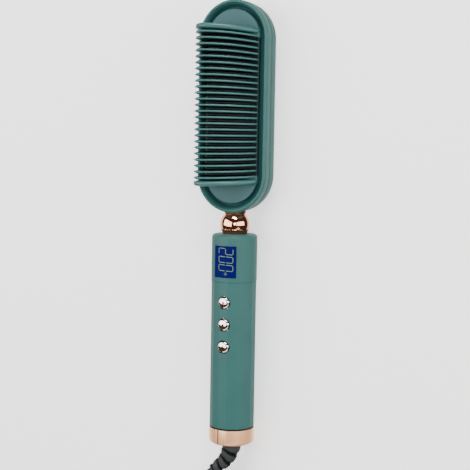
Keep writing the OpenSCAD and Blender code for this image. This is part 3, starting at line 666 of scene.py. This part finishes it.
def reading():
    """The display's 200 and its small degree mark, as thin bars on the lens."""
    verts, faces = [], []

    def bar(across0, along0, across1, along1):
        """A bar between two places: across runs to the right in mm, along runs up the handle."""
        length = math.hypot(across1 - across0, along1 - along0)
        ua, ul = (across1 - across0) / length, (along1 - along0) / length
        rows = []
        for s in range(BAR_STEPS + 1):
            d = BAR_GAP + (length - 2 * BAR_GAP) * s / BAR_STEPS
            for side in (-STROKE / 2, STROKE / 2):
                across = across0 + ua * d - ul * side
                along = along0 + ul * d + ua * side
                rows.append((across, along))
        base = len(verts)
        for level in (BAR_TOP, BAR_FOOT):
            for across, along in rows:
                verts.append(on_axis(LENS_R + level, across / LENS_R, along))
        count = len(rows)
        for s in range(BAR_STEPS):
            a = base + 2 * s
            faces.append((a, a + 1, a + 3, a + 2))
            faces.append((a + count, a + count + 2, a + count + 3, a + count + 1))
            faces.append((a, a + 2, a + count + 2, a + count))
            faces.append((a + 1, a + count + 1, a + count + 3, a + 3))
        for a in (base, base + 2 * BAR_STEPS):
            faces.append((a, a + 1, a + count + 1, a + count))

    for index, figure in enumerate((TWO, ZERO, ZERO)):
        first = FIGURE_START - index * FIGURE_PITCH
        for name in figure:
            (u0, v0), (u1, v1) = SEGMENTS[name]
            bar(
                (v0 - 0.5) * FIGURE_TALL + SHIFT, first - u0 * FIGURE_WIDE - v0 * SLANT,
                (v1 - 0.5) * FIGURE_TALL + SHIFT, first - u1 * FIGURE_WIDE - v1 * SLANT,
            )
    mark = FIGURE_START - 3 * FIGURE_PITCH
    for u0, v0, u1, v1 in ((0, 0, 0, 1), (1, 0, 1, 1), (0, 0, 1, 0), (0, 1, 1, 1)):
        bar(
            MARK_LOW + v0 * MARK_TALL, mark - u0 * MARK_WIDE,
            MARK_LOW + v1 * MARK_TALL, mark - u1 * MARK_WIDE,
        )
    link("reading", verts, faces, digit_light, smooth=60)


reading()

FLATS, FLAT_POINTS, FLAT_SHARE, ROUNDING, EDGE_DROP = 16, 5, 0.94, 0.2, 0.01
GRIP_GAP, GRIP_CHAMFER, GRIP_STEPS, LOW_INSET, HIGH_INSET = 0.05, 0.55, 66, 0.9, 0.2
HOLE_R, HOLE_DEPTH, GRIP_SMOOTH = 4.5, 8, 8


def grip_mesh():
    """The grip: sixteen shallow flats, softly rounded where they meet."""
    r = HANDLE_R - 0.1
    half = math.pi / FLATS
    ring = []
    for f in range(FLATS):
        centre = 2 * math.pi * f / FLATS
        for k in range(FLAT_POINTS):
            a = centre - half * FLAT_SHARE + 2 * FLAT_SHARE * half * k / (FLAT_POINTS - 1)
            flat = r * math.cos(half) / math.cos(a - centre)
            drop = EDGE_DROP * (k in (0, FLAT_POINTS - 1))
            ring.append((flat + (r - flat) * ROUNDING - drop, a))
    first, length = RING_TOP + GRIP_CHAMFER, COLLAR_END - RING_TOP - 0.8
    stations = [RING_TOP + GRIP_GAP, first]
    stations += [first + length * k / GRIP_STEPS for k in range(1, GRIP_STEPS + 1)]
    stations += [COLLAR_END - GRIP_GAP]
    rings = []
    for i, y in enumerate(stations):
        inset = {0: LOW_INSET, len(stations) - 1: HIGH_INSET}.get(i, 0)
        rings.append([on_axis(q - inset, a, y) for q, a in ring])
    bore = [[on_axis(BORE_R, a, y) for _, a in ring] for y in (stations[-1], stations[0])]
    verts, faces = lofted(rings + bore + [rings[0]], closed_ends=False)
    return link("grip", verts, faces, green, smooth=GRIP_SMOOTH)


# The grip is holed for the buttons.
grip = grip_mesh()
for y in BUTTON_Y:
    cutter_mesh = bpy.data.meshes.new("cutter")
    bm = bmesh.new()
    bmesh.ops.create_cone(
        bm, cap_ends=True, segments=64, radius1=HOLE_R * MM, radius2=HOLE_R * MM,
        depth=HOLE_DEPTH * MM,
        matrix=Matrix.Translation(Vector((0, y, AXIS_Z + HANDLE_R)) * MM),
    )
    bm.to_mesh(cutter_mesh)
    bm.free()
    cutter = bpy.data.objects.new("cutter", cutter_mesh)
    bpy.context.scene.collection.objects.link(cutter)
    cut = grip.modifiers.new("hole", "BOOLEAN")
    cut.operation, cut.solver, cut.object = "DIFFERENCE", "EXACT", cutter
    bpy.context.view_layer.update()
    evaluated = grip.evaluated_get(bpy.context.evaluated_depsgraph_get())
    cut_mesh = bpy.data.meshes.new_from_object(evaluated)
    grip.modifiers.clear()
    grip.data = cut_mesh
    bpy.data.objects.remove(cutter)
grip.data.shade_smooth()
grip.data.set_sharp_from_angle(angle=math.radians(GRIP_SMOOTH))
# The chamfer over the end ring takes the shade material, as painted shade in the seam.
grip.data.materials.append(shade_green)
for face in grip.data.polygons:
    if face.center.y < (RING_TOP + 0.5) * MM:
        face.material_index = len(grip.data.materials) - 1


BUTTON_R, FLANGE_R, FLANGE, CENTRE_R = 4, 5.1, 1, 0.01
CROWN, DOME, DOME_POWER = HANDLE_R + 0.7, 1.5, 0.6


def button_piece(name, y, body):
    """A domed button: rounded crown, straight side and the flange under the grip's wall."""
    low = AXIS_Z + math.sqrt(BORE_R ** 2 - FLANGE_R ** 2) - 0.3
    shoulder = AXIS_Z + CROWN - DOME
    profile = [
        (CENTRE_R, low - FLANGE), (FLANGE_R, low - FLANGE), (FLANGE_R, low), (BUTTON_R, low),
        (BUTTON_R, shoulder - 0.05),
    ]
    for degrees in range(8, 91, 6):
        a = math.radians(degrees)
        q = BUTTON_R * math.cos(a) ** DOME_POWER if degrees < 90 else CENTRE_R
        profile.append((q, shoulder + DOME * math.sin(a)))
    steps = 64
    verts = [
        (q * math.cos(2 * math.pi * k / steps), y + q * math.sin(2 * math.pi * k / steps), z)
        for k in range(steps)
        for q, z in profile
    ]
    n = len(profile)
    faces = [
        (k * n + i, k * n + i + 1, (k + 1) % steps * n + i + 1, (k + 1) % steps * n + i)
        for k in range(steps)
        for i in range(n - 1)
    ]
    return link(name, verts, faces, chrome, body, smooth=50)


for name, y in zip(("power_button", "plus_button", "minus_button"), BUTTON_Y):
    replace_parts(button_piece(name + "_cap", y, name), name)

RING_FLOOR, RING_LIP, RING_ROUND, RING_STEPS = 2, 1.2, 2.5, 256
band = revolved(
    "end_ring_band",
    [(BORE_R - RING_LIP, HANDLE_END), (HANDLE_R - RING_ROUND - 0.4, HANDLE_END)]
    + arc(HANDLE_R - RING_ROUND - 0.1, HANDLE_END + RING_ROUND, RING_ROUND, -88, 0, 14)
    + [(HANDLE_R - 0.1, RING_TOP - 0.75), (HANDLE_R - 0.12, RING_TOP - 0.65)]
    + [(HANDLE_R - 0.85, RING_TOP - 0.1), (HANDLE_R - 1.0, RING_TOP), (BORE_R, RING_TOP)]
    + [(BORE_R, HANDLE_END + RING_FLOOR), (BORE_R - RING_LIP, HANDLE_END + RING_FLOOR)],
    ring_gold, steps=RING_STEPS,
).data
# The band's butt joint, a fine groove along its outside; the groove and the top chamfer are painted
# black, as painted shade.
JOINT_ANGLE, JOINT_DEPTH, JOINT_BAND, SHADE_BAND = math.radians(-11.5), 0.7, 0.9, 1.2


def near_joint(x, z, half_angle, band_depth):
    """Whether a place, from the axis in m, is by the joint and in the band's outer part."""
    by_joint = abs(math.atan2(x, z) - JOINT_ANGLE) < half_angle
    return by_joint and math.hypot(x, z) > (HANDLE_R - band_depth) * MM


for vertex in band.vertices:
    x, z = vertex.co.x, vertex.co.z - AXIS_Z * MM
    if near_joint(x, z, math.pi / RING_STEPS, JOINT_BAND):
        inward = 1 - JOINT_DEPTH / HANDLE_R
        vertex.co.x, vertex.co.z = x * inward, AXIS_Z * MM + z * inward
# Painted shade: the faces by the joint's groove and the top chamfer are painted black.
band.materials.append(black_plastic)
for face in band.polygons:
    x, z = face.center.x, face.center.z - AXIS_Z * MM
    in_joint = near_joint(x, z, 2 * math.pi / RING_STEPS, SHADE_BAND)
    if in_joint or face.center.y > (RING_TOP - 0.6) * MM:
        face.material_index = 1

# ---- Strain relief and lead ----
BOOT_R, BOOT_END_R, BEND_R, BEND, TAIL = 6.85, 3.9, 20, 50, 8
BOOT_START, MOUTH, BEND_STEPS, TAIL_STEPS = HANDLE_END + 1.9, HANDLE_END - 0.8, 60, 28
bend = math.radians(BEND)
heading = Vector((-math.sin(bend), -math.cos(bend), 0))


def on_bend(a):
    """A point of the boot's centre line after a turn of a."""
    return Vector((-BEND_R * (1 - math.cos(a)), MOUTH - BEND_R * math.sin(a), AXIS_Z))


bend_end = on_bend(bend)
boot_tip = bend_end + TAIL * heading
boot_line = [Vector((0, BOOT_START, AXIS_Z))]
boot_line += [on_bend(bend * k / BEND_STEPS) for k in range(BEND_STEPS + 1)]
boot_line += [bend_end + TAIL * k / TAIL_STEPS * heading for k in range(1, TAIL_STEPS + 1)]
GROOVE_PITCH, GROOVE_HALF, GROOVE_SLANT, GROOVE_FIRST = 6.4, 1.2, 1.3, 4.6
GROOVE_START, GROOVE_DEPTH, GROOVE_FALL, GROOVE_DARK = 4.5, 0.7, 1.5, 0.22
BOOT_SIDES = 48


def boot_mesh():
    """The tapering boot: broad bands parted by narrow slanted grooves, their deep faces painted
    black as painted shade.
    """
    last = len(boot_line) - 1
    rings, dark = [], []
    way = 0
    for i, p in enumerate(boot_line):
        t = (boot_line[min(i + 1, last)] - boot_line[max(i - 1, 0)]).normalized()
        n = t.cross(Vector((0, 0, 1))).normalized()
        b = n.cross(t)
        way += (p - boot_line[max(i - 1, 0)]).length
        taper = BOOT_R + (BOOT_END_R - BOOT_R) * i / last
        ring = []
        for k in range(BOOT_SIDES):
            a = 2 * math.pi * k / BOOT_SIDES
            along = way + GROOVE_SLANT * math.cos(a) - GROOVE_FIRST
            off = abs(along % GROOVE_PITCH - GROOVE_PITCH / 2)
            depth = 0
            if way > GROOVE_START and i < last - 2:
                depth = GROOVE_DEPTH * min(1, max(0, GROOVE_FALL - off / GROOVE_HALF))
            dark.append(depth > GROOVE_DARK)
            ring.append(p + (taper - depth) * (math.cos(a) * n + math.sin(a) * b))
        rings.append(ring)
    verts, faces = lofted(rings)
    piece = link("boot", verts, faces, boot_rubber, "lead", smooth=40)
    # The deepest faces of the grooves are painted black, as painted shade.
    piece.data.materials.append(black_plate_and_groove_shade)
    for face in piece.data.polygons:
        if all(dark[v] for v in face.vertices):
            face.material_index = 1
    return piece


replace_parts(boot_mesh(), "strain_relief")

# The hank: its near end, straight run, lower layer, step between layers and loops, least fold
# radius, waist under the strap, and its whole loops.
NEAR, RUN, LOW_LAYER, STEP, FOLD_MIN, WAIST, LOOPS = -203, 90, 3.6, 5.9, 15, 8, 5
FAR = NEAR - RUN
LOOP = 2 * RUN + 2 * math.pi * (FOLD_MIN + 1.3 * STEP)
SHARE = RUN / LOOP
TURNS = LOOPS + SHARE
OUTER = FOLD_MIN + STEP * TURNS / 2
hank_start = Vector((-OUTER, NEAR + CORD_D, LOW_LAYER + STEP))
hank_end = Vector((-OUTER, FAR - CORD_D, LOW_LAYER))
PLUG_REAR = Vector((-17, -337, 7))
BACK = Vector((0, CORD_D, 0))
HANK_STEPS, ROUTE_STEPS, LEAD_SIDES = 380, 8, 20
# The cable is drawn a little thinner than its solids.
CABLE_D = CORD_D * 0.985


def waist_at(share):
    """How far the hank is drawn in at a share of its straight run."""
    return WAIST * math.sin(math.pi * share) ** 2


def hank_point(t):
    """Centre of the lead after t loops of the hank."""
    f = (t + 1e-9) % 1
    r = FOLD_MIN + STEP * abs(t - TURNS / 2)
    s = min(max((t - LOOPS / 2) / SHARE, 0), 1)
    z = LOW_LAYER + STEP * (0.5 + 0.5 * math.cos(math.pi * s))
    fold = 0.5 - SHARE
    if f <= SHARE:
        return Vector((-r + waist_at(f / SHARE), NEAR - f / SHARE * RUN, z))
    if f < 0.5:
        a = math.pi * (f - SHARE) / fold
        return Vector((-r * math.cos(a), FAR - r * math.sin(a), z))
    if f <= 0.5 + SHARE:
        s2 = (f - 0.5) / SHARE
        return Vector((r - waist_at(s2), FAR + s2 * RUN, z))
    a = math.pi * (f - 0.5 - SHARE) / fold
    return Vector((r * math.cos(a), NEAR + r * math.sin(a), z))


def spline(points, steps):
    """A smooth curve through a route's points."""
    out = []
    for i in range(len(points) - 1):
        a, b = points[max(i - 1, 0)], points[i]
        c, d = points[i + 1], points[min(i + 2, len(points) - 1)]
        for k in range(steps):
            t = k / steps
            out.append(0.5 * (2 * b + (c - a) * t + (2 * a - 5 * b + 4 * c - d) * t * t
                              + (3 * b - a - 3 * c + d) * t ** 3))
    return out + [points[-1]]


lead_in = spline(
    [boot_tip + CORD_D * heading, Vector((-24, -182, 13.2)), hank_start + BACK], ROUTE_STEPS
)
lead_out = spline(
    [hank_end - BACK, Vector((-27, -314, 4.4)), Vector((-19.5, -324, 6.4)), PLUG_REAR + BACK],
    ROUTE_STEPS,
)
hank = [hank_point(k * TURNS / HANK_STEPS) for k in range(HANK_STEPS + 1)]
lead_line = [boot_tip] + lead_in + [hank_start] + hank + [hank_end] + lead_out + [PLUG_REAR]
lead = tube("lead_cable", lead_line, CABLE_D / 2, cord_rubber, "lead", LEAD_SIDES)
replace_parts(lead, "cord", "cord_hank", "cord_tail")

# The strap and the plug.
HANK_MID = (NEAR + FAR) / 2
TIE_LEFT, TIE_RIGHT, TIE_TOP, TIE_WALL = -26.2, 23.2, 13.1, 0.8
TIE_ROUND, TIE_INNER_ROUND, TIE_HALF, TIE_EDGE = 3, 2.2, 4.5, 0.3
# The plug's body, as (y from its rear, half width, half height).
PLUG_STATIONS = [
    (0, 4.2, 3.4), (-2, 4.3, 3.5), (-2.4, 3.7, 3), (-3, 3.7, 3), (-3.4, 4.6, 3.8), (-5, 4.7, 4),
    (-5.4, 4.1, 3.4), (-6, 4.1, 3.4), (-6.4, 5.1, 4.6), (-8, 6.2, 5.6), (-10.5, 9.2, 6.6),
    (-13, 12.6, 6.95), (-14.5, 13, 7), (-21.5, 13, 7), (-23.4, 11.8, 6.6), (-24, 10.9, 5.8),
]
PLUG_ROUND = 0.62


def rounded_box(x0, z0, x1, z1, r, n=8):
    """A rectangle with round corners, anticlockwise."""
    return (
        arc(x1 - r, z1 - r, r, 0, 90, n) + arc(x0 + r, z1 - r, r, 90, 180, n)
        + arc(x0 + r, z0 + r, r, 180, 270, n) + arc(x1 - r, z0 + r, r, 270, 360, n)
    )


def strap():
    """The flat strap round the hank's waist, with rounded edges."""
    outer = rounded_box(TIE_LEFT, 0, TIE_RIGHT, TIE_TOP, TIE_ROUND)
    inner = rounded_box(
        TIE_LEFT + TIE_WALL, TIE_WALL, TIE_RIGHT - TIE_WALL, TIE_TOP - TIE_WALL, TIE_INNER_ROUND
    )
    wide, flat = TIE_HALF, TIE_HALF - TIE_EDGE
    section = [
        (wide, 0.25), (flat, 0), (-flat, 0), (-wide, 0.25),
        (-wide, 0.75), (-flat, 1), (flat, 1), (wide, 0.75),
    ]
    rings = [
        [(xo + (xi - xo) * t, HANK_MID + v, zo + (zi - zo) * t) for v, t in section]
        for (xo, zo), (xi, zi) in zip(outer, inner)
    ]
    verts, faces = lofted(rings + [rings[0]], closed_ends=False)
    return link("strap", verts, faces, cord_rubber, "lead")


strap_piece = strap()
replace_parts(strap_piece, "cord_tie")


def plug():
    """The flat plug body: a ribbed neck that widens to the face with the pins."""
    rings = []
    for y, half_x, half_z in PLUG_STATIONS:
        r = min(half_x, half_z) * PLUG_ROUND
        rings.append([
            (PLUG_REAR[0] + x, PLUG_REAR[1] + y, PLUG_REAR[2] + z)
            for x, z in rounded_box(-half_x, -half_z, half_x, half_z, r, 6)
        ])
    verts, faces = lofted(rings)
    return link("plug_moulding", verts, faces, cord_rubber, "lead")


plug_piece = plug()
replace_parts(plug_piece, "plug_body")

# Each dressed piece stands for its CAD node.
STANDS_FOR = {
    "front_shell": "head_front_shell", "back_shell": "head_back_shell",
    "comb_blades": "comb_guard", "neck_mirror_ball": "neck_ball",
    "neck_top_collar": "neck_collar", "neck_flare_collar": "neck_flare",
    "collar": "handle_collar", "grip": "handle_sleeve", "lens": "display_lens",
    "end_ring_band": "end_ring",
}
for piece, node in STANDS_FOR.items():
    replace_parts(bpy.data.objects[piece], node)
for piece in ("comb_end_blades", "front_plate"):
    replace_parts(bpy.data.objects[piece], "comb_guard")

# ---- Floor, world and lights ----
PAPER, PAPER_ROUGH, PAPER_GLOW = (0.93, 0.93, 0.93), 0.8, 0.9
STAGE_R, STAGE_Z, STAGE_BEND, STAGE_STEPS = 2.9, -0.0002, 0.8, 96
pale, pale_shader, pale_tree = new_material("pale_paper", PAPER, PAPER_ROUGH)
grain(
    pale_tree, pale_shader, PAPER, scale=3, spread=0.01, rough=PAPER_ROUGH, rough_spread=0.03,
    bump=0.02, bump_scale=400,
)
# The paper glows, to come out near the photograph's white.
pale_shader.inputs["Emission Color"].default_value = (1, 1, 1, 1)
pale_shader.inputs["Emission Strength"].default_value = PAPER_GLOW


def staged(name, profile):
    """(radius, height) points in m, turned about the vertical and kept out of reflections."""
    steps = STAGE_STEPS
    verts = [
        (r * math.cos(2 * math.pi * k / steps), r * math.sin(2 * math.pi * k / steps), z)
        for r, z in profile for k in range(steps)
    ]
    faces = [
        (i * steps + k, i * steps + (k + 1) % steps, (i + 1) * steps + (k + 1) % steps,
         (i + 1) * steps + k)
        for i in range(len(profile) - 1) for k in range(steps)
    ]
    mesh = bpy.data.meshes.new(name)
    mesh.from_pydata(verts, [], faces)
    mesh.shade_smooth()
    mesh.materials.append(pale)
    surface = bpy.data.objects.new(name, mesh)
    bpy.context.scene.collection.objects.link(surface)
    surface.visible_glossy = False
    return surface


FLOOR_R = STAGE_R - STAGE_BEND
staged("floor", [(0.0001, STAGE_Z), (FLOOR_R, STAGE_Z)])
wall = staged(
    "wall",
    arc(FLOOR_R, STAGE_Z + STAGE_BEND, STAGE_BEND, -90, 0, 16) + [(STAGE_R, 3), (0.001, 3.4)],
)
wall.visible_diffuse = False

# The world is warm white away from BRIGHT_AWAY_FROM and dark towards it, to rim the metals.
BRIGHT_AWAY_FROM = (0.437, 0.085, 0.895)
BRIGHT_END, BRIGHT = 0.19, (1.7, 1.55, 1.45, 1)
DARK_START, DARK = 0.27, (0.06, 0.043, 0.036, 1)
world = bpy.data.worlds.new("studio")
bpy.context.scene.world = world
world.use_nodes = True
world_nodes, world_wires = world.node_tree.nodes, world.node_tree.links
direction = world_nodes.new("ShaderNodeTexCoord")
facing = world_nodes.new("ShaderNodeVectorMath")
facing.operation = "DOT_PRODUCT"
facing.inputs[1].default_value = BRIGHT_AWAY_FROM
world_wires.new(direction.outputs["Generated"], facing.inputs[0])
backdrop = world_nodes.new("ShaderNodeValToRGB")
low, high = backdrop.color_ramp.elements
low.position, low.color = BRIGHT_END, BRIGHT
high.position, high.color = DARK_START, DARK
halved = world_nodes.new("ShaderNodeMapRange")
halved.inputs["From Min"].default_value = -1
world_wires.new(facing.outputs["Value"], halved.inputs["Value"])
world_wires.new(halved.outputs["Result"], backdrop.inputs["Fac"])
world_wires.new(backdrop.outputs["Color"], world_nodes["Background"].inputs["Color"])


def area_light(name, offset, size, size_y, power):
    """A soft rectangular light at offset, in m, aimed at the frame's origin."""
    data = bpy.data.lights.new(name, "AREA")
    data.shape, data.size, data.size_y, data.energy = "RECTANGLE", size, size_y, power
    light = bpy.data.objects.new(name, data)
    light.location = offset
    light.rotation_euler = (-Vector(offset)).to_track_quat("-Z", "Y").to_euler()
    bpy.context.scene.collection.objects.link(light)


area_light("left_window", (-0.57, 0.12, 0.82), 0.7, 1.4, 15)
area_light("right_window", (0.95, 0.12, 0.33), 0.5, 1.3, 9)
area_light("front_card", (0.45, 0.09, 0.95), 0.26, 0.26, 2.5)
area_light("top", (0.25, 1.0, 0.7), 0.7, 0.3, 14)
area_light("low_card", (0.25, -0.82, 0.51), 1.6, 0.5, 4.6)
